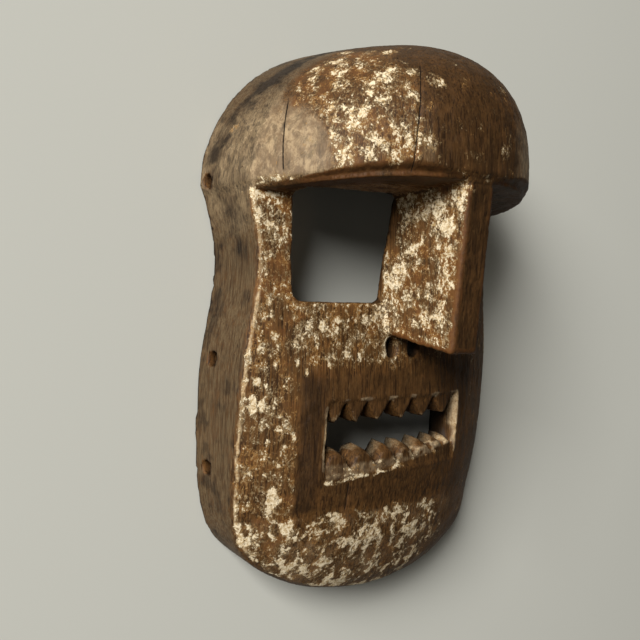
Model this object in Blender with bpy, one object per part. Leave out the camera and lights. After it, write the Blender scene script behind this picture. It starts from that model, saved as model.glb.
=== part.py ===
# A carved wooden divination mask: one hollow piece of wood, lying on the rim of its open back, face up.
# Metres. X runs to the viewer's right, Y up the face to the forehead, Z out of the face.
import bpy
import bmesh
import numpy as np
from math import cos, pi, sin

# The forehead's half width, which the whole outline follows
DOME_HALF_WIDTH = 0.1104
DOME_TOP = 0.1680

# The front edge, where the face meets the side walls, chin to top: how far it stays inside the forehead's
# half width, and the place up the face
FRONT_EDGE = (
    (DOME_HALF_WIDTH, -0.1680), (0.0824, -0.1655), (0.0554, -0.1590), (0.0334, -0.1485), (0.0174, -0.1360),
    (0.0094, -0.1200), (0.0054, -0.0900), (0.0042, -0.0600), (0.0059, -0.0200), (0.0114, 0.0180),
    (0.0114, 0.0440), (0.0070, 0.0760), (0.0254, 0.1060), (0.0554, 0.1340), (DOME_HALF_WIDTH, 0.1480),
)
# The rim the mask lies on, point for point with the front edge
BACK_RIM = (
    (DOME_HALF_WIDTH, -0.1610), (0.0844, -0.1590), (0.0584, -0.1530), (0.0404, -0.1450), (0.0244, -0.1345),
    (0.0119, -0.1200), (0.0044, -0.0900), (0.0030, -0.0640), (0.0044, -0.0260), (0.0119, 0.0180),
    (0.0114, 0.0440), (0.0026, 0.0760), (0.0204, 0.1060), (0.0514, 0.1340), (DOME_HALF_WIDTH, 0.1480),
)
# How far the mask leans to +X at its two ends, over places up the face
LEAN_LINE = ((FRONT_EDGE[0][1], 0.0070), (-0.1100, 0.0), (0.0900, 0.0), (DOME_TOP, 0.0090))
SPAN_STEPS = 4
WALL_STEPS = 3
RING_STEPS = (0.16, 0.33, 0.50, 0.64, 0.76, 0.86, 0.94, 0.985)
MIDDLE = -0.012  # where the face's rings meet
# Heights of the front edge and of the face's middle line, each over places up the face
EDGE_LINE = (
    (-0.1665, 0.0310), (-0.120, 0.0295), (-0.090, 0.0340), (-0.060, 0.0370), (-0.020, 0.0405),
    (0.020, 0.0425), (0.080, 0.0400), (0.150, 0.0360),
)
MIDDLE_LINE = (
    (-0.1665, 0.0335), (-0.155, 0.0430), (-0.130, 0.0535), (-0.090, 0.0615), (-0.050, 0.0630), (0.0, 0.0595),
    (0.060, 0.0550), (0.150, 0.0500),
)
FACE_POWER = 2.5
EDGE_ROUND = 0.0025
WALL = 0.0120
HOLLOW_STEPS = (0.25, 0.50, 0.70, 0.84, 0.93, 0.98, 1.0)
HOLLOW_FALL = (0.75, 9)  # how much the hollow's roof falls to its rim, and how late
THICKNESS_LINE = ((-0.040, 0.0200), (0.010, 0.0100), (0.150, 0.0100))

# The forehead, a dome with a sloping underside over the eyes
BROW_Y = 0.0805
DOME_WIDEST = 0.0724
DOME_HEIGHT = 0.1205
DOME_SECTION_POWER = 2.22
DOME_OUTLINE_POWERS = (2.40, 1.87)
DOME_PROFILE_POWER = 3.35
UNDERSIDE_SLOPE = 0.12
BROW_ARCH = 0.0125
BROW_ARCH_POWER = 3
BROW_BEVEL = 0.0050
BROW_BEVEL_SET_BACK = 0.0035
DOME_WALL = 0.0180
DOME_RIM = 0.0120
BROW_THICKNESS = 0.0140
BROW_BACK_SLOPE = 0.50
DOME_RINGS = 14
DOME_POINTS = 56
DOME_SINK = 0.0020  # the dome's widest level lies this far under the rim's plane

# The nose, a tall block that stands on the face below the brow
NOSE_FRONT_HALF = 0.0112
NOSE_BASE_HALF = 0.0163
NOSE_TIP = (-0.0157, 0.1080)
NOSE_BROW = (0.0900, 0.1168)
NOSE_BASE_Z = 0.0300
NOSE_BASE_Y = -0.0020
NOSE_ROUND = 0.0018
NOSE_HOLLOW = ((0.0000, 0.0470), (0.0820, 0.0615))
NOSE_HOLLOW_SIDE = 0.0030

# Openings, each cut from behind to just over the face
FACE_TOP = 0.0680
EYE_INNER = 0.0120
EYE_OUTER = 0.0785
EYE_LOW = 0.0115
EYE_HIGH = 0.0748
EYE_ROUND = 0.0060
MOUTH_HALF = 0.0567
MOUTH_BACK_HALF = 0.0530
MOUTH_HIGH = -0.0445
MOUTH_LOW = -0.0875
MOUTH_ROUND = 0.0025
NOSTRIL_AT = (0.0092, -0.0150)
NOSTRIL_HALF = (0.0042, 0.0058)
NOSTRIL_ROUND = 0.0034
SIDE_HOLES = ((0.0770, 0.0070), (-0.0228, 0.0115), (-0.0845, 0.0105))
SIDE_HOLE_RADIUS = 0.0035
SIDE_HOLE_STRETCH = 1.25
SIDE_HOLE_POINTS = 16

# Teeth, ridges that run back from the lips: where their tips stand, as shares of the mouth's half width
UPPER_TIPS = (-0.889, -0.633, -0.340, 0.018, 0.349, 0.723)
LOWER_TIPS = (-0.831, -0.503, -0.150, 0.111, 0.400, 0.688, 0.875)
UPPER_LENGTH = 0.0135
LOWER_LENGTH = 0.0162
UPPER_SHOULDER = 0.54  # a tooth's height halfway up its side, as a share
LOWER_SHOULDER = 0.80
# A crest's height at depths behind the lip, as shares of the tooth's length
UPPER_CREST = ((0.0, 1.00), (0.0080, 0.99), (0.0160, 0.95))
LOWER_CREST = ((0.0, 0.70), (0.0050, 0.90), (0.0120, 1.00), (0.0160, 1.00))
LOWER_LIP_RISE = 0.065  # how fast the lower lip climbs to +X
TOOTH_SET_BACK = 0.0015
TOOTH_VALLEY = 0.0010
TOOTH_ROOT = 0.0040

UNDER = 0.0100  # how far tools and bodies run past the rim's plane before it is cut flat


def at(table, y):
    """The table's value at a place up the face."""
    return float(np.interp(y, [row[0] for row in table], [row[1] for row in table]))


def outline(table):
    """The closed curve through a table of insets, as points from the chin round by +X."""
    half = [np.array((DOME_HALF_WIDTH - inset, y)) for inset, y in table]
    loop = half + [point * (-1.0, 1.0) for point in half[-2:0:-1]]
    points = []
    for i in range(len(loop)):
        before, here, there, after = (loop[(i + k) % len(loop)] for k in (-1, 0, 1, 2))
        for step in range(SPAN_STEPS):
            t = step / SPAN_STEPS
            points.append(0.5 * (
                2 * here + (there - before) * t + (2 * before - 5 * here + 4 * there - after) * t * t
                + (3 * here - before - 3 * there + after) * t ** 3
            ))
    return points


front = outline(FRONT_EDGE)
back = outline(BACK_RIM)
rightSide = sorted((point for point in front if point[0] >= 0), key=lambda point: point[1])


def faceHeight(x, y):
    """The face's height: full at the middle line, falling to the front edge."""
    halfWidth = max(1e-4, float(np.interp(y, [p[1] for p in rightSide], [p[0] for p in rightSide])))
    edge = at(EDGE_LINE, y)
    return edge + (at(MIDDLE_LINE, y) - edge) * (1 - min(1.0, abs(x) / halfWidth) ** FACE_POWER)


def addObject(name, points, faces):
    """A mesh object, leaned as the mask is, with its faces turned outwards."""
    mesh = bpy.data.meshes.new(name)
    mesh.from_pydata([(x + at(LEAN_LINE, y), y, z) for x, y, z in points], [], faces)
    bm = bmesh.new()
    bm.from_mesh(mesh)
    bmesh.ops.recalc_face_normals(bm, faces=bm.faces)
    bm.to_mesh(mesh)
    bm.free()
    piece = bpy.data.objects.new(name, mesh)
    bpy.context.collection.objects.link(piece)
    return piece


def bridge(first, second, count):
    """Quads between two rings of count points that start at these numbers."""
    return [(first + i, first + (i + 1) % count, second + (i + 1) % count, second + i) for i in range(count)]


def ringSolid(name, rings, tip=None):
    """Rings joined in turn, closed by a flat face at the last and by a flat face or a point at the first."""
    count = len(rings[0])
    points = [point for ring in rings for point in ring]
    faces = [face for k in range(len(rings) - 1) for face in bridge(k * count, (k + 1) * count, count)]
    faces.append(tuple(range((len(rings) - 1) * count, len(rings) * count)))
    if tip is None:
        faces.append(tuple(range(count)))
    else:
        points.append(tip)
        faces += [(i, (i + 1) % count, len(points) - 1) for i in range(count)]
    return addObject(name, points, faces)


def combine(body, tool, operation):
    """A Boolean on the body; the tool stays as a hidden cutter."""
    step = body.modifiers.new(tool.name, "BOOLEAN")
    step.operation = operation
    step.solver = "EXACT"
    step.object = tool
    tool.hide_render = True
    tool.display_type = "WIRE"


def makeFace():
    """The lower body: side walls from the rim to the front edge, and the curved face between them."""
    rings = []
    for share in RING_STEPS:
        ring = [(x * share, MIDDLE + (y - MIDDLE) * share) for x, y in front]
        rings.append([(x, y, faceHeight(x, y)) for x, y in ring])
    edge = [np.array((x, y, at(EDGE_LINE, y) - EDGE_ROUND)) for x, y in front]
    rim = [np.array((x, y, -UNDER)) for x, y in back]
    for k in range(WALL_STEPS + 1):
        rings.append([above + (below - above) * k / WALL_STEPS for above, below in zip(edge, rim)])
    return ringSolid("mask", rings, (0.0, MIDDLE, faceHeight(0.0, MIDDLE)))


def makeHollow():
    """The room behind the face, a wall's thickness inside the rim and the face's thickness under it."""
    rings = []
    across = 1 - WALL / (DOME_HALF_WIDTH - BACK_RIM[7][0])
    along = 1 - WALL / abs(BACK_RIM[0][1])
    for share in HOLLOW_STEPS:
        ring = [(x * across * share, MIDDLE + (y - MIDDLE) * along * share) for x, y in back]
        fall = 1 - HOLLOW_FALL[0] * share ** HOLLOW_FALL[1]
        rings.append([(x, y, (faceHeight(x, y) - at(THICKNESS_LINE, y)) * fall) for x, y in ring])
    rings.append([(x * across, MIDDLE + (y - MIDDLE) * along, -UNDER) for x, y in back])
    return ringSolid("hollow", rings, (0.0, MIDDLE, faceHeight(0.0, MIDDLE) - at(THICKNESS_LINE, MIDDLE)))


def makeDome(name, rim, wall, startY, slope, bevel):
    """A full dome from startY to the top, its end face sloping back and down from the section's edge."""
    top = DOME_TOP - wall
    halfWidth = DOME_HALF_WIDTH - rim
    height = DOME_HEIGHT - wall
    angles = [2 * pi * i / DOME_POINTS for i in range(DOME_POINTS)]

    def section(y, shrink):
        outward, inward = DOME_OUTLINE_POWERS
        taper = (max(0.0, y - DOME_WIDEST) / (top - DOME_WIDEST)) ** outward
        width = halfWidth * (1 - taper) ** (1 / inward)
        fall = (max(0.0, y - startY) / (top - startY)) ** DOME_PROFILE_POWER
        rise = height * (1 - fall) ** (1 / DOME_PROFILE_POWER)
        power = 2 / DOME_SECTION_POWER
        drop = BROW_ARCH * (1 - (y - startY) / (top - startY)) ** 2
        ring = []
        for angle in angles:
            x = np.sign(cos(angle)) * abs(cos(angle)) ** power * (width - shrink)
            z = np.sign(sin(angle)) * abs(sin(angle)) ** power * (rise - shrink)
            arch = drop * abs(float(x) / halfWidth) ** BROW_ARCH_POWER
            ring.append((float(x), y - arch, float(z) - DOME_SINK))
        return ring

    rings = []
    for k in range(DOME_RINGS - 1, -1, -1):
        rings.append(section(startY + (top - startY) * sin(pi / 2 * k / DOME_RINGS), 0.0))
    if bevel > 0:
        rings[-1] = section(startY + bevel, 0.0)
        rings.append(section(startY, BROW_BEVEL_SET_BACK))
    points = [point for ring in rings for point in ring]
    last = (len(rings) - 1) * DOME_POINTS
    faces = [face for k in range(0, last, DOME_POINTS) for face in bridge(k, k + DOME_POINTS, DOME_POINTS)]
    half = DOME_POINTS // 2
    core = len(points)
    for i in range(1, half):
        x, y, z = rings[-1][i]
        points.append((x, y - slope * (z + DOME_SINK), -DOME_SINK))

    def middle(i):
        if i == 0:
            return last
        return last + half if i == half else core + i - 1

    for i in range(half):
        upper = (last + i, last + i + 1, middle(i + 1), middle(i))
        lower = tuple(last + (DOME_POINTS - (corner - last)) % DOME_POINTS if last < corner < core else corner
                      for corner in upper)
        faces += [tuple(dict.fromkeys(upper)), tuple(dict.fromkeys(lower))]
    points.append((0.0, top, -DOME_SINK))
    faces += [(i, (i + 1) % DOME_POINTS, len(points) - 1) for i in range(DOME_POINTS)]
    return addObject(name, points, faces)


def roundedBox(lowX, highX, lowY, highY, radius, steps=3):
    """A rectangle with rounded corners, as points in order."""
    corners = ((highX - radius, highY - radius, 0), (lowX + radius, highY - radius, 1),
               (lowX + radius, lowY + radius, 2), (highX - radius, lowY + radius, 3))
    points = []
    for x, y, quarter in corners:
        for k in range(steps + 1):
            angle = pi / 2 * (quarter + k / steps)
            points.append((x + radius * cos(angle), y + radius * sin(angle)))
    return points


def makePrism(name, low, lowZ, high, highZ):
    """A prism between two outlines of as many points."""
    return ringSolid(name, [[(x, y, lowZ) for x, y in low], [(x, y, highZ) for x, y in high]])


def makeNose():
    """The nose: a tapering block with rounded front edges, from inside the face up into the brow."""
    rings = []
    for (y, frontZ), baseY in ((NOSE_TIP, NOSE_BASE_Y), (NOSE_BROW, NOSE_BROW[0])):
        tip = y + NOSE_ROUND if y < 0 else y
        rings.append([
            (-NOSE_BASE_HALF, baseY, NOSE_BASE_Z), (NOSE_BASE_HALF, baseY, NOSE_BASE_Z),
            (NOSE_FRONT_HALF, y, frontZ - NOSE_ROUND), (NOSE_FRONT_HALF - NOSE_ROUND, tip, frontZ),
            (NOSE_ROUND - NOSE_FRONT_HALF, tip, frontZ), (-NOSE_FRONT_HALF, y, frontZ - NOSE_ROUND),
        ])
    return ringSolid("nose", rings)


def makeNoseHollow():
    """The cut behind the nose, shallower at its lower end, so that each eye shows the nose's back."""
    profile = ((NOSE_HOLLOW[0][0], 0.0), (NOSE_HOLLOW[1][0], 0.0), NOSE_HOLLOW[1], NOSE_HOLLOW[0])
    reach = NOSE_BASE_HALF + NOSE_HOLLOW_SIDE
    return ringSolid("nose_hollow", [[(x, y, z) for y, z in profile] for x in (-reach, reach)])


def makeTeeth(name, tips, shoulder, crest, rootY, length, lipRise):
    """A row of teeth along a lip, one body: a zigzag edge whose height changes with the depth."""
    direction = 1 if length > 0 else -1
    middles = [MOUTH_HALF * tip for tip in tips]
    valleys = [max(-MOUTH_HALF, (3 * middles[0] - middles[1]) / 2)]
    valleys += [(here + there) / 2 for here, there in zip(middles, middles[1:])]
    valleys.append(min(MOUTH_HALF, (3 * middles[-1] - middles[-2]) / 2))
    reach = MOUTH_HALF + TOOTH_ROOT
    stations = [(-reach, 0.0), (valleys[0], 0.0)]
    for before, middle, after in zip(valleys, middles, valleys[1:]):
        stations += [((before + middle) / 2, shoulder), (middle, 1.0)]
        stations += [((middle + after) / 2, shoulder), (after, 0.0)]
    stations.append((reach, 0.0))
    rings = []
    for x, height in stations:
        lipZ = faceHeight(x, rootY) - TOOTH_SET_BACK
        valley = TOOTH_VALLEY + lipRise * (x + MOUTH_HALF)
        root = [(x, rootY - direction * TOOTH_ROOT, lipZ - depth) for depth, share in crest]
        edge = [(x, rootY + direction * (valley + height * (abs(length) * share - valley)), lipZ - depth)
                for depth, share in crest]
        rings.append(root + edge[::-1])
    return ringSolid(name, rings)


def makeSideHole(name, y, z):
    """An oval cutter that runs across both side walls."""
    turns = [2 * pi * i / SIDE_HOLE_POINTS for i in range(SIDE_HOLE_POINTS)]
    tall = SIDE_HOLE_RADIUS * SIDE_HOLE_STRETCH
    oval = [(y + tall * cos(turn), z + SIDE_HOLE_RADIUS * sin(turn)) for turn in turns]
    reach = DOME_HALF_WIDTH + UNDER
    return ringSolid(name, [[(-reach, py, pz) for py, pz in oval], [(reach, py, pz) for py, pz in oval]])


def main():
    for piece in list(bpy.data.objects):
        bpy.data.objects.remove(piece)
    mask = makeFace()
    combine(mask, makeDome("forehead", 0.0, 0.0, BROW_Y, UNDERSIDE_SLOPE, BROW_BEVEL), "UNION")
    for side, sign in (("right", 1), ("left", -1)):
        low, high = sorted((sign * EYE_INNER, sign * EYE_OUTER))
        eye = roundedBox(low, high, EYE_LOW, EYE_HIGH, EYE_ROUND)
        combine(mask, makePrism(f"eye_{side}", eye, -UNDER, eye, FACE_TOP), "DIFFERENCE")
    combine(mask, makeNose(), "UNION")
    behind, before = (roundedBox(-half, half, MOUTH_LOW, MOUTH_HIGH, MOUTH_ROUND)
                      for half in (MOUTH_BACK_HALF, MOUTH_HALF))
    combine(mask, makePrism("mouth", behind, 0.0, before, FACE_TOP), "DIFFERENCE")
    for name, tips, shoulder, crest, lip, length, rise in (
            ("upper_teeth", UPPER_TIPS, UPPER_SHOULDER, UPPER_CREST, MOUTH_HIGH, -UPPER_LENGTH, 0.0),
            ("lower_teeth", LOWER_TIPS, LOWER_SHOULDER, LOWER_CREST, MOUTH_LOW, LOWER_LENGTH, LOWER_LIP_RISE)):
        combine(mask, makeTeeth(name, tips, shoulder, crest, lip, length, rise), "UNION")
    combine(mask, makeHollow(), "DIFFERENCE")
    combine(mask, makeNoseHollow(), "DIFFERENCE")
    browBack = BROW_Y + BROW_THICKNESS
    combine(mask, makeDome("forehead_hollow", DOME_RIM, DOME_WALL, browBack, BROW_BACK_SLOPE, 0.0), "DIFFERENCE")
    for side, sign in (("right", 1), ("left", -1)):
        x = sign * NOSTRIL_AT[0]
        slit = roundedBox(x - NOSTRIL_HALF[0], x + NOSTRIL_HALF[0], NOSTRIL_AT[1] - NOSTRIL_HALF[1],
                          NOSTRIL_AT[1] + NOSTRIL_HALF[1], NOSTRIL_ROUND)
        combine(mask, makePrism(f"nostril_{side}", slit, 0.0, slit, FACE_TOP), "DIFFERENCE")
    for k, (y, z) in enumerate(SIDE_HOLES):
        combine(mask, makeSideHole(f"side_hole_{k + 1}", y, z), "DIFFERENCE")
    reach = 2 * DOME_TOP
    square = [(-reach, -reach), (reach, -reach), (reach, reach), (-reach, reach)]
    combine(mask, makePrism("below_rim", square, -reach, square, 0.0), "DIFFERENCE")

    wood = bpy.data.materials.new("aged_wood")
    wood.use_nodes = True
    shader = wood.node_tree.nodes["Principled BSDF"]
    shader.inputs["Base Color"].default_value = (0.120, 0.072, 0.042, 1.0)
    shader.inputs["Roughness"].default_value = 0.75
    shader.inputs["Metallic"].default_value = 0.0
    mask.data.materials.append(wood)


main()
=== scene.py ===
import math
import bpy
import numpy as np
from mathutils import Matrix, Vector, noise
from mathutils.bvhtree import BVHTree


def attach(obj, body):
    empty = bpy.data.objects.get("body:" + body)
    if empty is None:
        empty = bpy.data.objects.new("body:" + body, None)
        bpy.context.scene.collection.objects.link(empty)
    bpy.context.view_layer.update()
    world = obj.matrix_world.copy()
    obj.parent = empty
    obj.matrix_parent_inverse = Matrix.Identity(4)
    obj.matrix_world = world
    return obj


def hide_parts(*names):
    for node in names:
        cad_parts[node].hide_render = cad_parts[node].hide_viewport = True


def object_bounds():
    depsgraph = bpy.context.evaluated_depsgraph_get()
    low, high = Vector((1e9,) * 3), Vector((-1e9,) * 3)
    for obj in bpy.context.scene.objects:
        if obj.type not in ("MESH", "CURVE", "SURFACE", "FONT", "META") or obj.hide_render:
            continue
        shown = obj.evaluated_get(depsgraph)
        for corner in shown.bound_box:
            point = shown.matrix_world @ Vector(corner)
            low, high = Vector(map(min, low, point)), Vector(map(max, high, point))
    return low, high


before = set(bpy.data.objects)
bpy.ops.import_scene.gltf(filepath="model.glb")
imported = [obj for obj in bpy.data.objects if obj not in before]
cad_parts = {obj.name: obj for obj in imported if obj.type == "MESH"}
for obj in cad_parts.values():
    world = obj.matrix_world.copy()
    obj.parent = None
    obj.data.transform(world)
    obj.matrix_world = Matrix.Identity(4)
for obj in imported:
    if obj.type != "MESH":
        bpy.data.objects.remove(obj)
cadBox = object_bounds()
metresPerMm = 0.001
print("frame loaded")

# where the carver's forms lie on the piece, in millimetres; the shape and the paint both read this
places = {
    "browY": 80.5,          # the brow's front edge at the middle
    "browArch": 12.5,       # how far the brow falls at the temples
    "browHalf": 110.0,
    "noseHalf": 19.0,       # the nose with its foot
    "noseEnd": -18.0,
    "middle": -12.0,        # middle of the face, up the face
    "mouthHalf": 57.0,
    "mouthLow": -87.5,
    "mouthHigh": -44.5,
    "fringeRise": 0.114,    # how fast the lower lip climbs to the right
    "panelHalf": 73.0,      # the dark rectangle round the mouth
    "panelLow": -109.0,
    "panelHigh": -29.0,
    "bevelWide": 8.5,       # the brow's lower bevel at its widest
}

# cracks that opened along the grain: two ends, the way the surface faces, and the width; millimetres
cracks = (
    ((-93.9, 79.0, 58.5), (-82.0, 122.0, 46.5), (-0.88, 0.30, 0.36), 0.32),
    ((-48.3, 82.0, 106.5), (-30.0, 146.0, 92.0), (-0.50, 0.30, 0.80), 0.22),
    ((-38.2, -109.0, 55.3), (-38.7, -92.0, 58.0), (-0.15, -0.15, 0.98), 0.30),
)


def linear(hexColour):    # an sRGB hex colour as the linear colour a shader wants
    parts = [int(hexColour[k:k + 2], 16) / 255 for k in (1, 3, 5)]
    return tuple(c / 12.92 if c <= 0.04045 else ((c + 0.055) / 1.055) ** 2.4 for c in parts) + (1.0,)


def pickOnly(piece):    # an operator acts on all that is selected
    bpy.ops.object.select_all(action="DESELECT")
    piece.select_set(True)
    bpy.context.view_layer.objects.active = piece


def applyStep(piece, kind, **settings):    # adds a modifier and applies it
    step = piece.modifiers.new(kind.lower(), kind)
    for name, value in settings.items():
        setattr(step, name, value)
    pickOnly(piece)
    bpy.ops.object.modifier_apply(modifier=step.name)


def readRows(mesh, what):    # "co" or "normal" of every vertex
    rows = np.empty(len(mesh.vertices) * 3, np.float32)
    mesh.vertices.foreach_get(what, rows)
    return rows.reshape(-1, 3).astype(float)


def writePoints(mesh, points):    # points in millimetres, kept inside the solid's own box
    low, high = (np.array(corner) / metresPerMm for corner in cadBox)
    kept = np.clip(points, low, high) * metresPerMm
    mesh.vertices.foreach_set("co", kept.astype(np.float32).ravel())
    mesh.update()


def ramp(value, low, high):    # 0 at low, 1 at high, smooth between; low may be the larger
    t = np.clip((value - low) / (high - low), 0.0, 1.0)
    return t * t * (3 - 2 * t)


# noise of about -1 to 1, its coarsest lumps size mm across; each pattern has its own shift
def ripple(points, size, octaves=3, shift=0.0):
    scaled = points / np.array(size) + shift
    return np.array([noise.fractal(Vector(p), 1.0, 2.0, octaves) for p in scaled])


def setWeights(piece, name, values):    # a vertex group in 20 steps of weight
    group = piece.vertex_groups.new(name=name)
    steps = np.round(np.clip(values, 0, 1) * 20).astype(int)
    for step in range(1, 21):
        chosen = np.flatnonzero(steps == step).tolist()
        if chosen:
            group.add(chosen, step / 20, "REPLACE")


def bendOf(mesh, points, normals, rounds):    # how convex the surface is at each vertex, in millimetres
    ends = np.empty(len(mesh.edges) * 2, np.int32)
    mesh.edges.foreach_get("vertices", ends)
    a, b = ends.reshape(-1, 2).T
    count = np.bincount(a, minlength=len(points)) + np.bincount(b, minlength=len(points))

    def around(values):
        total = np.bincount(a, values[b], len(points)) + np.bincount(b, values[a], len(points))
        return total / np.maximum(count, 1)

    centre = np.stack([around(points[:, k]) for k in range(3)], axis=1)
    for _ in range(rounds):
        centre = np.stack([around(centre[:, k]) for k in range(3)], axis=1)
    bend = ((points - centre) * normals).sum(axis=1)
    return 0.5 * (bend + around(bend))


def openness(mesh, points, normals):    # how much of the sky over the face each vertex sees, 0 to 1
    tree = BVHTree.FromPolygons([Vector(p) for p in points], [tuple(f.vertices) for f in mesh.polygons])
    # the rays' turn and lean in degrees: straight up, then two rings
    sky = [(0.0, 0.0)] + [(60 * k, 35) for k in range(6)] + [(60 * k + 30, 65) for k in range(6)]
    rays = []
    for turn, lean in sky:
        turn, lean = math.radians(turn), math.radians(lean)
        flat = math.sin(lean)
        rays.append(Vector((flat * math.cos(turn), flat * math.sin(turn), math.cos(lean))))
    starts = points + normals * carving["rayLift"]
    seen = np.zeros(len(points))
    for ray in rays:
        facing = normals @ np.array(ray)
        for k in np.flatnonzero(facing > carving["rayFacing"]):
            if tree.ray_cast(Vector(starts[k]), ray)[0] is None:
                seen[k] += 1.0
    return seen / len(rays)


def crackPlane(start, end, facing):    # a crack runs straight in: the plane's normal and its place along that
    across = (Vector(end) - Vector(start)).cross(Vector(facing)).normalized()
    return across, across.dot(Vector(start))


def crackReach(points, start, end):    # 1 along a crack's length, on the side of the piece that it opened on
    start, end = np.array(start), np.array(end)
    along = end - start
    t = (points - start) @ along / (along @ along)
    away = np.linalg.norm(points - start - t[:, None] * along, axis=1)
    return ramp(t, -0.01, 0.03) * ramp(t, 1.0, 0.85) * ramp(away, 16, 12)


# how the blank is carved and worn; millimetres
carving = {
    "voxel": 0.90,
    "triangles": 196000,
    "insidePull": 2.0,       # how much sooner the unseen inside gives up its triangles
    "rayLift": 0.8,
    "rayFacing": 0.05,
    "edgeRounds": 5,         # passes that round the tool-cut edges
    "footRounds": 14,
    "browRounds": 8,
    "teethRounds": 3,
    "lightPass": 0.5,        # how far one pass moves a point
    "strongPass": 0.6,
    "bevelSlope": 0.42,
    "adzeSize": (15, 24, 15), "adzeDepth": 0.55,
    "grainSize": (1.7, 30, 1.7), "grainDepth": 0.28,
    "pitSize": (2.4, 3.4, 2.4), "pitDepth": 0.30,
    "gougeSize": (10, 34, 10), "gougeDepth": 1.3,       # inside, where nobody smoothed the wood
    "fibreSize": (30, 3.0, 2.0), "fibreDepth": 1.0,     # under the brow, cut across the grain
    "chipSize": (5, 7, 5), "chipDepth": 1.0,
    "crackDepth": 0.6,
}


def makeMask():
    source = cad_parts["mask"]
    mask = bpy.data.objects.new("carved_mask", source.data.copy())
    bpy.context.scene.collection.objects.link(mask)
    mask.data.materials.clear()
    pickOnly(mask)
    bpy.ops.object.mode_set(mode="EDIT")
    bpy.ops.mesh.select_all(action="SELECT")
    bpy.ops.mesh.remove_doubles(threshold=1e-6)
    bpy.ops.object.mode_set(mode="OBJECT")
    applyStep(mask, "REMESH", mode="VOXEL", voxel_size=carving["voxel"] * metresPerMm)
    print("remeshed to", len(mask.data.vertices), "points")

    x, y, z = (readRows(mask.data, "co") / metresPerMm).T
    # the nose's foot, the temples' corners, the brow and the teeth were cut with round gouges, so they are
    # blended more
    foot = ramp(np.abs(x), 34, 20) * ramp(y, -32, -20) * ramp(y, 14, 4) * ramp(z, 54, 57) * ramp(z, 76, 66)
    foot += ramp(np.abs(x), 96, 102) * ramp(np.abs(y - 66), 18, 8) * ramp(z, 44, 34)
    teeth = (ramp(np.abs(x), 59, 57) * ramp(y, places["mouthLow"] - 2, places["mouthLow"] + 1)
             * ramp(y, places["mouthHigh"] + 2, places["mouthHigh"] - 1) * ramp(z, 30, 34))
    brow = (ramp(np.abs(y - browAt(x)[0]), 9, 4) * ramp(z, 44, 56)
            * ramp(np.abs(x), places["noseHalf"] - 4, places["noseHalf"]))
    setWeights(mask, "foot", foot)
    setWeights(mask, "teeth", teeth)
    setWeights(mask, "brow", brow)
    light, strong = carving["lightPass"], carving["strongPass"]
    applyStep(mask, "SMOOTH", factor=light, iterations=carving["edgeRounds"])
    applyStep(mask, "SMOOTH", factor=strong, iterations=carving["footRounds"], vertex_group="foot")
    applyStep(mask, "SMOOTH", factor=strong, iterations=carving["browRounds"], vertex_group="brow")
    applyStep(mask, "SMOOTH", factor=light, iterations=carving["teethRounds"], vertex_group="teeth")
    return mask


def browAt(x):    # the brow's front edge, and how wide its bevel is, across the face
    wide = np.abs(x)
    arch = np.sin(np.pi * np.clip((wide - 8) / 96, 0, 1))
    return places["browY"] - places["browArch"] * (wide / places["browHalf"]) ** 3, places["bevelWide"] * arch


def zonesOf(points, normals):    # which part of the mask each vertex belongs to, as numbers from 0 to 1
    x, y, z = points.T
    nx, ny, nz = normals.T
    wide = np.abs(x)
    brow, bevelWide = browAt(x)
    outward = nx * x + ny * (y - places["middle"])
    zones = {}
    zones["forehead"] = ramp(y, brow - 1.0, brow + 1.5) * ramp(ny, -0.75, -0.35)
    bevelTop = brow + bevelWide
    zones["bevel"] = (ramp(y, brow - 3.0, brow - 1.0) * ramp(y, bevelTop + 0.8, bevelTop - 0.8)
                      * ramp(nz + wide / 90, 0.15, 0.4) * ramp(z, 40, 46) * ramp(bevelWide, 0.5, 2.5))
    zones["underBrow"] = (ramp(ny, -0.35, -0.75) * ramp(y, brow - 14, brow - 8) * ramp(y, brow + 9, brow + 5)
                          * ramp(z, 38, 44) * (1 - zones["bevel"]))
    zones["nose"] = (ramp(wide, places["noseHalf"] + 1, places["noseHalf"] - 3) * ramp(z, 61, 66)
                     * ramp(y, brow + 1, brow - 1) * ramp(y, places["noseEnd"] - 4, places["noseEnd"]))
    zones["noseFront"] = zones["nose"] * ramp(nz, 0.45, 0.75) * ramp(z, 84, 92)
    zones["wall"] = ramp(outward, 0, 30) * ramp(nz, 0.55, 0.25) * ramp(z, 46, 38) * ramp(nz, -0.5, -0.3)
    zones["mouth"] = (ramp(wide, 60, 57) * ramp(y, places["mouthLow"] - 2.5, places["mouthLow"] - 0.5)
                      * ramp(y, places["mouthHigh"] + 2.5, places["mouthHigh"] + 0.5))
    overhang = ramp(np.abs(y - brow), 20, 14) * ramp(ny, -0.4, -0.7)
    zones["inside"] = (ramp(outward, 0, -15) * ramp(nz, 0.3, 0.1) + ramp(nz, -0.1, -0.4)) * (1 - overhang)
    return zones


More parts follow.
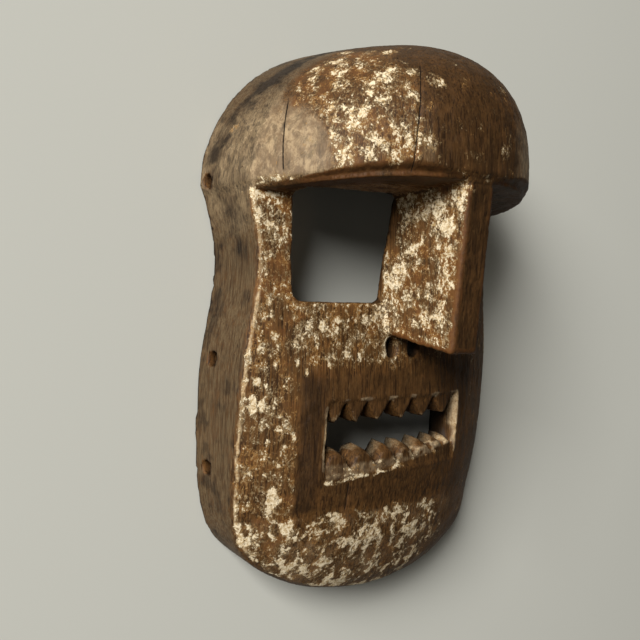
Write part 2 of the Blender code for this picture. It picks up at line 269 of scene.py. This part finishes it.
def carve(mask):
    mesh = mask.data
    points = readRows(mesh, "co") / metresPerMm
    normals = readRows(mesh, "normal")
    zones = zonesOf(points, normals)
    bend = bendOf(mesh, points, normals, 4)
    front = ramp(normals[:, 2], -0.25, 0.1)
    wall = zones["wall"]
    bare = (1 - zones["mouth"]) * (1 - zones["underBrow"])

    adze = 0.35 + 0.5 * ripple(points, carving["adzeSize"], 2)
    cut = carving["adzeDepth"] * adze * front * (1 - zones["mouth"])
    grain = np.abs(ripple(points, carving["grainSize"], 3, 5.0))
    cut += carving["grainDepth"] * grain * bare * (0.4 + 0.8 * wall)
    pit = np.maximum(0, ripple(points, carving["pitSize"], 3, 9.0))
    cut += carving["pitDepth"] * pit * 1.6 * (1 - 0.6 * wall)
    gouge = np.abs(ripple(points, carving["gougeSize"], 2, 13.0))
    cut += carving["gougeDepth"] * gouge * (1 - front) * (1 - wall)
    fibre = np.abs(ripple(points, carving["fibreSize"], 3, 17.0))
    cut += carving["fibreDepth"] * fibre * zones["underBrow"]
    chip = np.maximum(0, ripple(points, carving["chipSize"], 3, 21.0) - 0.12)
    cut += carving["chipDepth"] * chip * ramp(bend, 0.15, 0.7) * 2.2 * ramp(points[:, 2], 6, 14)
    cut *= 1 - 0.4 * ramp(points[:, 2], 10, 3)    # less is cut near the rim that it lies on
    brow, bevelWide = browAt(points[:, 0])
    rise = points[:, 1] - brow
    cut += (carving["bevelSlope"] * np.maximum(0, bevelWide - rise) * ramp(rise, -3, -1)
            * ramp(normals[:, 1], -0.85, -0.5) * ramp(normals[:, 2], 0.1, 0.4) * ramp(points[:, 2], 44, 50))
    for start, end, facing, _ in cracks:
        across, place = crackPlane(start, end, facing)
        off = np.abs(points @ np.array(across) - place)
        cut += carving["crackDepth"] * ramp(off, 1.1, 0.3) * crackReach(points, start, end)
    writePoints(mesh, points - normals * cut[:, None])
    setWeights(mask, "inside", 0.15 + 0.85 * zones["inside"])
    print("carved")


def thin(mask):    # the triangles go where the carving shows
    faces = sum(len(face.vertices) - 2 for face in mask.data.polygons)
    if faces > carving["triangles"]:
        applyStep(mask, "DECIMATE", ratio=carving["triangles"] / faces, vertex_group="inside",
                  vertex_group_factor=carving["insidePull"])
    writePoints(mask.data, readRows(mask.data, "co") / metresPerMm)
    mask.vertex_groups.clear()
    pickOnly(mask)
    bpy.ops.object.shade_smooth()
    print("thinned from", faces, "to", len(mask.data.polygons), "triangles")


# larger flakes of white earth: x, y up the face, radius, stretch up the face, and how solid; millimetres
flakes = (
    (-98, 73, 5.0, 1.0, 0.9), (-101, 70, 3.6, 1.2, 0.9), (-92, 70, 3.6, 0.8, 0.8), (-93, 75, 3.4, 0.9, 0.8),
    (-87, 66, 2.6, 1.2, 0.7), (-99, 58, 2.4, 2.2, 0.8), (-101.5, -20, 3.0, 2.4, 0.6),
    (-98.5, -46, 2.0, 3.0, 1.0), (-94, -46, 2.0, 1.9, 0.85), (-97, -33, 1.9, 1.1, 1.0),
    (-92.3, -35, 1.3, 1.0, 0.8), (-87.5, -23, 1.6, 1.4, 0.8), (-95.5, -15, 3.2, 1.1, 0.7),
    (-94.5, 3, 2.0, 1.6, 0.7), (-84, -101, 3.2, 2.6, 0.95), (-79.5, -100, 1.8, 1.6, 0.7),
    (-76, -64, 1.6, 2.2, 0.8), (-83, -80, 1.3, 1.2, 0.9), (-90, -85, 1.1, 1.2, 0.9),
    (-97, -84, 1.0, 1.4, 0.9), (-84, -52, 1.2, 1.2, 0.8), (-80, -38, 1.5, 1.4, 0.8),
    (-76, -22, 1.6, 1.4, 0.8), (-70, -28, 1.3, 1.8, 0.8), (-56, -24, 1.3, 1.4, 0.9),
    (-35, -20, 1.8, 1.6, 0.8), (-99, -118, 2.6, 1.4, 0.8), (-94, -125, 3.8, 1.0, 0.9),
    (-93.5, -60, 1.2, 1.2, 0.9), (-90, -66, 1.1, 1.4, 0.8), (-88.6, -8, 3.0, 1.1, 0.7),
    (-59.7, -3, 4.2, 1.0, 0.75), (-51, 1, 3.2, 0.9, 0.8), (-69, -1, 2.4, 1.3, 0.8), (-66, 6, 2.4, 1.2, 0.6),
    (-45, -17, 1.9, 0.8, 0.9), (-52.7, -20, 1.5, 1.2, 0.7), (-63.6, -13, 1.4, 2.0, 0.7),
    (-22, 4, 5.0, 1.3, 0.7), (-31, 2, 3.6, 1.2, 0.65), (-15.5, -10, 3.0, 1.6, 0.6),
    (-29, -10, 2.4, 1.8, 0.6), (-69, -122, 4.0, 1.4, 0.62), (-55, -123, 4.5, 1.2, 0.62),
    (-24, -126, 2.6, 2.4, 0.68), (-27, -138, 3.0, 2.2, 0.6), (-27, -152, 3.4, 1.6, 0.68),
    (-61, -146, 4.5, 0.8, 0.72), (-6, -118, 4.0, 1.2, 0.6), (-42, -150, 4.0, 0.8, 0.6),
    (-52, -153, 4.0, 0.8, 0.65), (-3, -146, 3.0, 1.4, 0.55), (16, -139, 3.0, 1.4, 0.5),
    (30, -112, 2.6, 1.4, 0.6), (-47, -116, 3.0, 1.4, 0.55), (11, -113, 3.0, 1.2, 0.55),
)
# flakes on the forehead and the nose, where the surface turns: x, y, z, radius and how solid; millimetres
highFlakes = (
    (-53.3, 132.8, 88.3, 5.5, 0.78), (-60.3, 119.5, 92.9, 4.5, 0.72), (-39.2, 136.8, 96.1, 4.0, 0.66),
    (-73.3, 105.2, 87.4, 5.0, 0.74), (-79, 88.5, 86.7, 5.0, 0.74), (-69.9, 91.5, 95, 4.5, 0.66),
    (-58.5, 89.6, 103.5, 5.0, 0.74), (-52.4, 103.2, 104.9, 4.5, 0.7), (-41.1, 98.4, 111.2, 5.5, 0.68),
    (-44.4, 154.2, 48.4, 5.0, 0.66), (-41.7, 152.3, 63.5, 4.5, 0.62), (-36.4, 151.6, 74, 4.5, 0.7),
    (-29.7, 132.4, 105, 5.0, 0.52), (24.2, 134.9, 108.6, 5.0, 0.46), (17.9, 98.7, 117.3, 6.0, 0.5),
    (-77.3, 122, 67.7, 3.0, 0.6), (-100.5, 106.3, 19.6, 3.5, 0.55), (-11.9, 56.1, 100.2, 6.5, 0.8),
    (-13.8, 30.6, 68.3, 6.0, 0.78), (-13.2, 43.3, 77.3, 5.0, 0.74), (-14, 24.1, 64.8, 5.5, 0.78),
    (-11.4, 77.7, 111.4, 5.0, 0.66), (-12.2, 62.3, 95.7, 5.0, 0.74), (-11.8, 42.7, 101.5, 6.0, 0.74),
    (-11.9, 20.4, 97.6, 5.0, 0.6), (-12.5, 3, 87.9, 6.0, 0.66), (-13.2, 14, 76.5, 5.0, 0.6),
)
# dark stains on the forehead and the temples, and pale rings: x, y, z and radius; millimetres
stains = (
    (-66.4, 143.5, 25.3, 7.0), (-78.3, 133.3, 22.4, 8.0), (-89.6, 114.9, 35.7, 4.0),
    (-102.0, 93.0, 41.0, 3.2), (-84.0, 98.0, 76.0, 3.0), (-75.6, 100.0, 84.0, 3.0),
    (-101.0, 60.0, 22.0, 6.0), (-97.0, 40.0, 26.0, 7.0),
)
rings = ((-87.2, 91.7, 69.0, 4.8), (-74.0, 110.2, 80.5, 5.0), (-30.5, 133.1, 105.2, 4.6))
# the smoke's dark line along the forehead's left: how far up the face, and its height there; millimetres
smokeLine = ((80, 7), (100, 12), (115, 16), (127, 21), (143, 26))

# how strongly each area takes a finish, from 0 for none to about 1 for all
earth = {
    # on all of the area, and how much more on its left
    "cheek": (0.11, 0.14), "underEye": (0.14, 0.17), "strip": (0.12, 0.20), "foot": (0.14, 0.22),
    "chin": 0.10, "chinMore": 0.10, "chinPatch": 0.20, "chinVein": 0.26, "edge": 0.34, "edgeDrift": 0.25,
    "fringe": 0.52, "lipStrip": 0.12, "teeth": 0.05, "highlitCutEdge": 0.26, "band": 0.27, "forehead": 0.02,
    "foreheadPatch": 0.08, "nose": 0.30, "noseTop": 0.10, "patch": 0.16, "ring": 0.16,
    # what takes it away
    "offNoseEdge": 0.30, "offPanel": 0.35, "offNoseFront": 0.40, "offWall": 0.30, "offInside": 0.3,
    "offBevel": 0.05,
}
film = {
    "all": 0.10, "left": 0.66, "offBand": 0.75, "right": 0.62, "face": 0.06, "lipStrip": 0.45,
    "highlitCutEdge": 0.45, "teeth": 0.25, "mouthEnd": 0.4, "wall": 0.10, "wallTop": 0.35, "chin": 0.16,
    "foreheadRim": 0.12, "drift": 0.12, "ring": 0.35,
}
# how dark smoke and dirt make each area, and how dark the painted shade is in hidden places, at the back of
# the mouth and inside
smokeAndShade = {
    "panel": 0.32, "noseFront": 0.46, "forehead": 0.42, "panelEnd": 0.26, "line": 0.62, "linePatch": 0.5,
    "wall": 0.20, "offWallTop": 0.15, "wallBlotch": 0.40, "hidden": 0.8, "mouthBackShade": 0.20,
    "bevel": 0.35, "inside": 0.4, "crown": 0.18, "stain": 0.36,
}
rubbed = {
    "bevel": 0.75, "nose": 0.6, "band": 0.45, "strip": 0.45, "underEye": 0.3, "cheek": 0.25, "drift": 0.2,
    # the worn weights also set painted highlights on the rounded side edges, the teeth and the mouth's rim
    "offWall": 0.4, "chin": 0.25, "wornEdgeAndHighlight": 0.90, "wornDrift": 0.4, "teethEdgeHighlight": 0.45, "cutEdgeHighlight": 0.34,
    "wornNose": 0.25,
}


def paint(mask):    # where each finish lies, kept on the piece's vertices for the material
    mesh = mask.data
    points = readRows(mesh, "co") / metresPerMm
    normals = readRows(mesh, "normal")
    x, y, z = points.T
    nx, ny, nz = normals.T
    wide = np.abs(x)
    zones = zonesOf(points, normals)
    bend = bendOf(mesh, points, normals, 6)
    seen = openness(mesh, points, normals)
    drift = ripple(points, (16, 22, 16), 3, 31.0)
    patch = ripple(points, (7, 9, 7), 3, 43.0)
    vein = ramp(np.abs(ripple(points, (15, 11, 15), 3, 57.0)), 0.13, 0.03)
    forehead, nose, noseFront, wall = zones["forehead"], zones["nose"], zones["noseFront"], zones["wall"]
    bevel, inside = zones["bevel"], zones["inside"]
    forehead = forehead * (1 - bevel)
    face = (1 - forehead) * (1 - nose) * (1 - bevel) * ramp(nz, 0.2, 0.55) * ramp(z, 26, 32)
    foot = ramp(wide, 36, 26) * ramp(y, -22, -12) * ramp(y, 50, 34) * ramp(z, 52, 56) * (1 - nose)
    panel = (ramp(wide + 2 * drift, places["panelHalf"] + 2, places["panelHalf"] - 2)
             * ramp(y + 3 * drift, places["panelLow"] - 3, places["panelLow"] + 3)
             * ramp(y + 3 * drift, places["panelHigh"] + 4, places["panelHigh"] - 4)) * face
    chin = ramp(y + 3 * drift, places["panelLow"] + 2, places["panelLow"] - 5) * face
    underEye = ramp(y, -34, -20) * ramp(y, 20, 10) * ramp(wide + 4 * drift, 88, 76) * face
    cheek = face * ramp(wide, 66, 74)
    strip = face * ramp(y, 8, 16)
    # the rounded edge where the face turns into the side: white earth, wear and a painted highlight along it
    edgeLine = (ramp(bend, 0.15, 0.50) * ramp(z, 24, 29) * ramp(z, 46, 41) * ramp(wide, 84, 94)
                * ramp(y, 80, 74) * ramp(nz, 0.35, 0.70))
    lip = places["mouthLow"] - 5.5 + places["fringeRise"] * (x + places["mouthHalf"])
    lipWide = ramp(wide, 58, 54) * face
    fringe = (ramp(np.abs(y - lip - 2 * patch), 2.2, 0.6) * lipWide
              * (0.50 + 0.4 * ramp(x, 20, -10) + 0.4 * patch))
    lipStrip = ramp(y, lip, lip + 2) * ramp(y, places["mouthLow"] + 9, places["mouthLow"] + 5) * lipWide
    teeth = zones["mouth"] * ramp(z, 36, 44)
    rimAway = np.min((np.abs(wide - places["mouthHalf"]), np.abs(y - places["mouthHigh"]),
                      np.abs(y - lip - 5)), axis=0)
    # painted highlight: paler earth, film and wear on the convex edges along the mouth's rim
    highlitCutEdge = zones["mouth"] * ramp(z, 44, 50) * ramp(bend, 0.15, 0.5) * ramp(rimAway, 3.0, 1.5)
    under = (ramp(ny, -0.35, -0.75) * ramp(y, 46, 54) * (1 - bevel) * ramp(z, 3, 8)
             * (1 + 0.3 * ramp(z, 44, 34)))
    leftward = ramp(x, 10, -10)
    band = ramp(x + 3 * drift, -86, -80) * ramp(x + 3 * drift, -38, -46)

    # white earth: how readily it lies at each point, before the material breaks it into flakes
    e = earth
    chinEarth = e["chin"] + ramp(x, 75, 25) * (e["chinMore"] + e["chinPatch"] * ramp(patch, -0.1, 0.4)
                                               + e["chinVein"] * vein)
    kaolin = chin * chinEarth
    for name, area in (("cheek", cheek), ("underEye", underEye), ("strip", strip), ("foot", foot)):
        even, left = e[name]
        kaolin = np.maximum(kaolin, area * (even + left * leftward))
    kaolin = np.maximum(kaolin, (e["edge"] + e["edgeDrift"] * drift) * edgeLine)
    kaolin += e["fringe"] * fringe + e["lipStrip"] * lipStrip + e["teeth"] * teeth + e["highlitCutEdge"] * highlitCutEdge
    kaolin += (forehead * ramp(z, 30, 50)
               * (e["band"] * band + e["forehead"] + e["foreheadPatch"] * ramp(patch, 0.0, 0.5)))
    kaolin += nose * (1 - noseFront) * (e["nose"] + e["noseTop"] * ramp(y, 56, 70)) * ramp(ny, -0.8, -0.5)
    kaolin += (e["patch"] * patch * (1 - panel)
               - e["offNoseEdge"] * nose * ramp(bend, 0.25, 0.8) * ramp(y, 50, 35))
    kaolin -= (e["offPanel"] * panel * (1 - fringe) * (1 - lipStrip) + e["offNoseFront"] * noseFront
               + e["offWall"] * wall + e["offInside"] * inside + e["offBevel"] * bevel)
    onTop = (1 - 0.85 * bevel) * (1 - 0.7 * wall) * ramp(ny, -0.7, -0.4)
    for fx, fy, radius, stretch, solid in flakes:
        away = np.hypot(x - fx, (y - fy) / stretch) / radius + 0.25 * patch
        reach = (0.62 * solid - 0.50 * np.maximum(away - 0.6, 0)) * onTop
        kaolin = np.where((z > 25) & (away < 1.8), np.maximum(kaolin, reach), kaolin)
    for fx, fy, fz, radius, solid in highFlakes:
        away = np.linalg.norm(points - np.array((fx, fy, fz)), axis=1) / radius + 0.3 * patch
        reach = 0.60 * solid - 0.30 * np.maximum(away - 0.5, 0)
        kaolin = np.where(away < 1.8, np.maximum(kaolin, reach), kaolin)

    # the greyish brown film that handling and dust left
    smooth = forehead * ramp(x + 4 * drift, -30, -50) * ramp(z, 14, 26)
    f = film
    patina = (f["all"] + f["left"] * smooth * (1 - f["offBand"] * band)
              + f["right"] * forehead * ramp(x, 15, 50) + f["face"] * face)
    patina += (f["lipStrip"] * lipStrip + f["highlitCutEdge"] * highlitCutEdge + f["teeth"] * teeth
               + f["mouthEnd"] * zones["mouth"] * ramp(x, 48, 54) * ramp(nx, -0.4, -0.7))
    patina += ((f["wall"] + f["wallTop"] * ramp(y, 35, 58)) * wall + f["chin"] * chin
               + f["foreheadRim"] * forehead * ramp(z, 9, 4) + f["drift"] * drift)
    for fx, fy, fz, radius in rings:
        away = np.linalg.norm(points - np.array((fx, fy, fz)), axis=1)
        patina += f["ring"] * ramp(np.abs(away - radius), 1.3, 0.4)
        kaolin += e["ring"] * ramp(np.abs(away - radius), 1.4, 0.4)
    patina = (np.clip(patina, 0, 1) * (1 - 0.9 * panel * (1 - lipStrip) * (1 - highlitCutEdge))
              * (1 - 0.9 * noseFront))
    patina *= (1 - inside) * (1 - 0.4 * teeth * (1 - highlitCutEdge)) * (1 - 0.45 * ramp(y, 100, 125))

    # smoke and dirt, and painted shade where the surface sees little sky, at the back of the mouth and on the
    # inside
    smokeZ = np.interp(y, *zip(*smokeLine))
    s = smokeAndShade
    dark = (s["panel"] * panel + s["noseFront"] * noseFront
            + s["forehead"] * forehead * ramp(x + 4 * drift, -46, -36) * ramp(x, 55, 20))
    dark += s["panelEnd"] * panel * ramp(x + 2 * drift, -56, -63) * ramp(x + 2 * drift, -76, -70)
    dark += (forehead * ramp(np.abs(z - smokeZ - 4 * patch), 9, 2) * ramp(y, 80, 92)
             * (s["line"] + s["linePatch"] * patch) * leftward)
    dark += ((s["wall"] - s["offWallTop"] * ramp(y, 35, 58)) * wall
             + s["wallBlotch"] * ramp(patch + drift, 0.1, 0.8) * wall)
    # painted shade: darker where the surface sees little of the sky, less so on undersides and on the nose
    dark += ((s["hidden"] - 0.6 * under - 0.4 * nose) * (1 - ramp(seen, 0.05, 0.45))
             # painted shade: darker deeper in the mouth
             + s["mouthBackShade"] * zones["mouth"] * ramp(z, 50, 42))
    # painted shade: the inside is painted dark so that little light bounces round the hollow
    dark += (s["bevel"] * bevel + s["inside"] * inside
             + s["crown"] * forehead * ramp(y, 100, 125) * ramp(x, -45, -65))
    for fx, fy, fz, radius in stains:
        away = np.linalg.norm(points - np.array((fx, fy, fz)), axis=1) / radius + 0.5 * drift + 0.4 * patch
        dark += s["stain"] * ramp(away, 1.5, 0.3)
    # red-brown where hands rubbed the wood, and pale where its edges wore through or carry painted highlights
    r = rubbed
    warm = (r["bevel"] * bevel + nose * (1 - noseFront) * r["nose"] + r["band"] * band * forehead
            + r["strip"] * strip + r["underEye"] * underEye)
    warm += (ramp(bend, 0.10, 0.45) * nose + r["cheek"] * cheek + r["drift"] * drift - r["offWall"] * wall
             + r["chin"] * chin)
    wearAndHighlight = np.maximum(edgeLine * (r["wornEdgeAndHighlight"] + r["wornDrift"] * drift),
                      # painted highlight: paler on the teeth's convex edges and along the mouth's rim
                      r["teethEdgeHighlight"] * teeth * ramp(bend, 0.5, 1.4) + r["cutEdgeHighlight"] * highlitCutEdge)
    wearAndHighlight = np.maximum(wearAndHighlight, r["wornNose"] * (nose + bevel) * ramp(bend, 0.4, 1.0) * (1 - noseFront))

    marks = {"kaolin": kaolin * ramp(seen, 0.02, 0.2), "patina": patina, "dark": dark, "warm": warm,
             "wall": wall, "under": under, "wearAndHighlight": wearAndHighlight}
    for count, (start, end, _, _) in enumerate(cracks):
        marks["crack%d" % count] = crackReach(points, start, end)
    for name, values in marks.items():
        layer = mesh.attributes.new(name, "FLOAT", "POINT")
        layer.data.foreach_set("value", np.clip(values, -1, 1.5).astype(np.float32))
    print("painted")
    return list(marks)


def add(tree, kind, settings=None, inputs=None, out=0):    # a node with its settings and links
    made = tree.nodes.new("ShaderNode" + kind)
    for name, value in (settings or {}).items():
        setattr(made, name, value)
    for name, value in (inputs or {}).items():
        if isinstance(value, bpy.types.NodeSocket):
            tree.links.new(value, made.inputs[name])
        else:
            made.inputs[name].default_value = value
    return made.outputs[out]


# the wood's grain and relief; sizes in millimetres. Real pores are finer than the render shows, so the grain
# is drawn as coarse as it needs to be seen
woodFinish = {
    "heart": "#2b1907", "sootAndShade": "#130a03",
    "grainWidth": 1.1, "grainLength": 24, "flake": 3.4, "fleck": 1.3,
    "mottle": 1.8, "streak": 3.4, "cloud": 12,
    "toneFrom": 0.42, "toneTo": 0.62,                    # where a layer's second tone begins and is whole
    "grainRelief": 0.22, "flakeRelief": 0.28, "crackRelief": 0.45, "crackWobble": 0.5,
    "crackEdge": 1.6, "crackCore": 0.4,                  # of a crack's width
    "crumble": 0.8,                                      # how far the mottle roughens the crust
    "rough": 0.48, "grainRough": 0.25, "earthRough": 0.22, "specular": 0.2,
}

# what lies on the heartwood, from the bottom up: two tones and the pattern that tells them apart, what its
# cover adds up from, the sums at which it starts and is whole, and its strength
woodLayers = {
    "sapwood": ("#5a3c1b", "#6b4823", "cloud", {"grain": 1}, 0.36, 0.62, 1.0),
    "pores": ("#87663c", "#7a5a33", "cloud", {"fine": 1}, 0.52, 0.72, 0.5),
    "film": ("#78634a", "#aa9270", "haze", {"patina": 0.45, "cloud": 0.3, "fine": 0.3, "streak": 0.2},
             0.50, 0.76, 0.92),
    "haze": ("#3a3024", "#574733", "mottle", {"patina": 0.25, "streak": 1}, 0.66, 0.86, 0.65),
    "weathered": ("#69573d", "#33291d", "grain", {"wall": 0.45, "fine": 1}, 0.74, 0.98, 0.70),
    "rubbed": ("#64401c", "#5a3415", "mottle", {"warm": 0.35, "cloud": 1}, 0.62, 0.85, 0.8),
    # smoke and dirt, with the painted shade of hollows, of the inside and of the mouth's back
    "sootAndShade": ("#130a03", "#1d1208", "cloud", {"dark": 0.65, "streak": 0.4, "grain": 0.6}, 0.45, 1.15, 0.9),
    "fibres": ("#7d5a34", "#a88a68", "fleck", {"under": 0.45, "fibre": 1}, 0.87, 1.02, 0.85),
    # pale edges: wear, and painted highlights on the rounded side edges, the teeth and the mouth's rim
    "wornEdgeAndHighlight": ("#c8b08a", "#9c7d54", "mottle", {"wearAndHighlight": 0.9, "fine": 0.5}, 0.50, 1.05, 0.9),
    "thinEarth": ("#86704e", "#98703c", "cloud", {"kaolin": 0.55, "flake": 0.50, "fleck": 0.50},
                  0.645, 0.69, 0.75),
    "thickEarth": ("#e2d1b0", "#a88a5c", "mottle", {"kaolin": 0.55, "flake": 0.50, "fleck": 0.50},
                   0.71, 0.73, 1.0),
}


# old carved hardwood under smoke and handling, with white earth left in flakes, painted shade and highlights:
# dull, grained and blotched
def makeWood(markNames):
    finish = bpy.data.materials.new("carved_wood_with_white_earth")
    finish.use_nodes = True
    tree = finish.node_tree
    shader = tree.nodes["Principled BSDF"]
    w = woodFinish
    smooth = {"interpolation_type": "SMOOTHSTEP"}
    mix = {"data_type": "RGBA"}
    sumUp = {"operation": "MULTIPLY_ADD"}
    onPiece = add(tree, "TexCoord", out="Object")
    mm = add(tree, "Mapping", {}, {"Vector": onPiece, "Scale": [1 / metresPerMm] * 3})
    along, tall, drawn, across = (add(tree, "Mapping", {}, {"Vector": mm, "Scale": scale}) for scale in (
        (1, w["grainWidth"] / w["grainLength"], 1), (1, 0.7, 1), (1, 0.3, 1), (0.08, 1, 1)))

    sources = {}    # the patterns and the painted marks that a layer's cover adds up from
    for name, where, size, detail, roughness, twist in (
            ("grain", along, w["grainWidth"], 5, 0.62, 0.35),
            ("fine", along, w["grainWidth"] * 0.4, 3, 0.6, 0.1),
            ("mottle", mm, w["mottle"], 6, 0.72, 0.5), ("cloud", mm, w["cloud"], 4, 0.6, 0.3),
            ("flake", tall, w["flake"], 6, 0.66, 0.8), ("fleck", tall, w["fleck"], 5, 0.66, 0.9),
            ("streak", drawn, w["streak"], 7, 0.72, 0.15), ("fibre", across, w["grainWidth"], 4, 0.65, 0.3),
            ("haze", tall, w["cloud"] * 0.6, 9, 0.74, 0.4)):
        sources[name] = add(tree, "TexNoise", {}, {"Vector": where, "Scale": 1 / size, "Detail": detail,
                                                   "Roughness": roughness, "Distortion": twist})
    for name in markNames:
        sources[name] = add(tree, "Attribute", {"attribute_name": name}, out="Fac")

    colour = linear(w["heart"])
    covers = {}
    for name, (first, second, split, cover, start, whole, strength) in woodLayers.items():
        amount = 0.0
        for source, weight in cover.items():
            amount = add(tree, "Math", sumUp, {0: sources[source], 1: weight, 2: amount})
        share = add(tree, "MapRange", smooth, {"Value": sources[split], "From Min": w["toneFrom"],
                                               "From Max": w["toneTo"]})
        tone = add(tree, "Mix", mix, {0: share, 6: linear(first), 7: linear(second)}, 2)
        covers[name] = add(tree, "MapRange", smooth, {"Value": amount, "From Min": start, "From Max": whole,
                                                      "To Max": strength})
        colour = add(tree, "Mix", mix, {0: covers[name], 6: colour, 7: tone}, 2)

    crack = 0.0
    for count, (start, end, facing, width) in enumerate(cracks):
        normal, place = crackPlane(start, end, facing)
        off = add(tree, "VectorMath", {"operation": "DOT_PRODUCT"}, {0: mm, 1: normal}, "Value")
        off = add(tree, "Math", {"operation": "SUBTRACT"}, {0: off, 1: place + w["crackWobble"] / 2})
        off = add(tree, "Math", sumUp, {0: sources["cloud"], 1: w["crackWobble"], 2: off})
        off = add(tree, "Math", {"operation": "ABSOLUTE"}, {0: off})
        line = add(tree, "MapRange", smooth, {"Value": off, "From Min": width * w["crackEdge"],
                                              "From Max": width * w["crackCore"]})
        crack = add(tree, "Math", sumUp, {0: line, 1: sources["crack%d" % count], 2: crack})
    colour = add(tree, "Mix", mix, {0: crack, 6: colour, 7: linear(w["sootAndShade"])}, 2)
    tree.links.new(colour, shader.inputs["Base Color"])

    rough = add(tree, "Math", sumUp, {0: sources["grain"], 1: w["grainRough"], 2: w["rough"]})
    rough = add(tree, "Math", sumUp, {0: covers["thickEarth"], 1: w["earthRough"], 2: rough})
    tree.links.new(rough, shader.inputs["Roughness"])
    shader.inputs["Specular IOR Level"].default_value = w["specular"]

    crust = add(tree, "Math", sumUp, {0: sources["mottle"], 1: w["crumble"], 2: covers["thickEarth"]})
    relief = None
    for height, depth in ((sources["grain"], w["grainRelief"]), (crust, w["flakeRelief"]),
                          (crack, -w["crackRelief"])):    # a crack goes in, the rest stand out
        inputs = {"Distance": abs(depth) * metresPerMm, "Height": height}
        if relief:
            inputs["Normal"] = relief
        relief = add(tree, "Bump", {"invert": depth < 0}, inputs)
    tree.links.new(relief, shader.inputs["Normal"])
    print("wood finish made")
    return finish


# camera, floor and lights; metres and degrees
studio = {
    "cameraAt": (-0.40853, 0.02114, 0.43858),
    "cameraTurn": (-3.995, -41.892, 2.685),
    "pixelsPerTan": 925,      # how many of the picture's 640 pixels a slope of one covers
    "picture": 640,
    "sensor": 36,
    "clipStart": 0.01,
    "floorSize": 6.0,
    "floorZ": -0.0003,        # just under the rim, so that the two don't flicker
    "floorColour": "#cdccc1", "floorRough": 0.9,
    "keyAt": (-4.55, 2.40, 2.80), "keySize": 2.4, "keyPower": 560,
    "skyColour": "#f2ede4", "skyPower": 0.09,
}


def makeStudio():
    lens = bpy.data.cameras.new("camera")
    lens.sensor_width = studio["sensor"]
    lens.lens = studio["sensor"] * studio["pixelsPerTan"] / studio["picture"]
    lens.clip_start = studio["clipStart"]
    camera = bpy.data.objects.new("camera", lens)
    bpy.context.scene.collection.objects.link(camera)
    camera.location = studio["cameraAt"]
    camera.rotation_euler = [math.radians(angle) for angle in studio["cameraTurn"]]
    bpy.context.scene.camera = camera

    bpy.ops.mesh.primitive_plane_add(size=studio["floorSize"], location=(0, 0, studio["floorZ"]))
    floor = bpy.context.object
    floor.name = "floor"
    # even and dull, so that the mask's own surface tells
    finish = bpy.data.materials.new("matt_paper_floor")
    finish.use_nodes = True
    tree = finish.node_tree
    shader = tree.nodes["Principled BSDF"]
    shader.inputs["Base Color"].default_value = linear(studio["floorColour"])
    shader.inputs["Roughness"].default_value = studio["floorRough"]
    floor.data.materials.append(finish)

    key = bpy.data.lights.new("window", "AREA")
    key.shape = "SQUARE"
    key.size = studio["keySize"]
    key.energy = studio["keyPower"]
    lamp = bpy.data.objects.new("window", key)
    bpy.context.scene.collection.objects.link(lamp)
    lamp.location = studio["keyAt"]
    lamp.rotation_euler = (-Vector(studio["keyAt"])).to_track_quat("-Z", "Y").to_euler()

    world = bpy.data.worlds.new("sky")
    bpy.context.scene.world = world
    world.use_nodes = True
    sky = world.node_tree.nodes["Background"]
    sky.inputs["Color"].default_value = linear(studio["skyColour"])
    sky.inputs["Strength"].default_value = studio["skyPower"]
    bpy.context.scene.view_settings.view_transform = "Standard"
    print("studio made")


makeStudio()
mask = makeMask()
carve(mask)
thin(mask)
markNames = paint(mask)
mask.data.materials.append(makeWood(markNames))
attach(mask, "root")
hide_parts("mask")
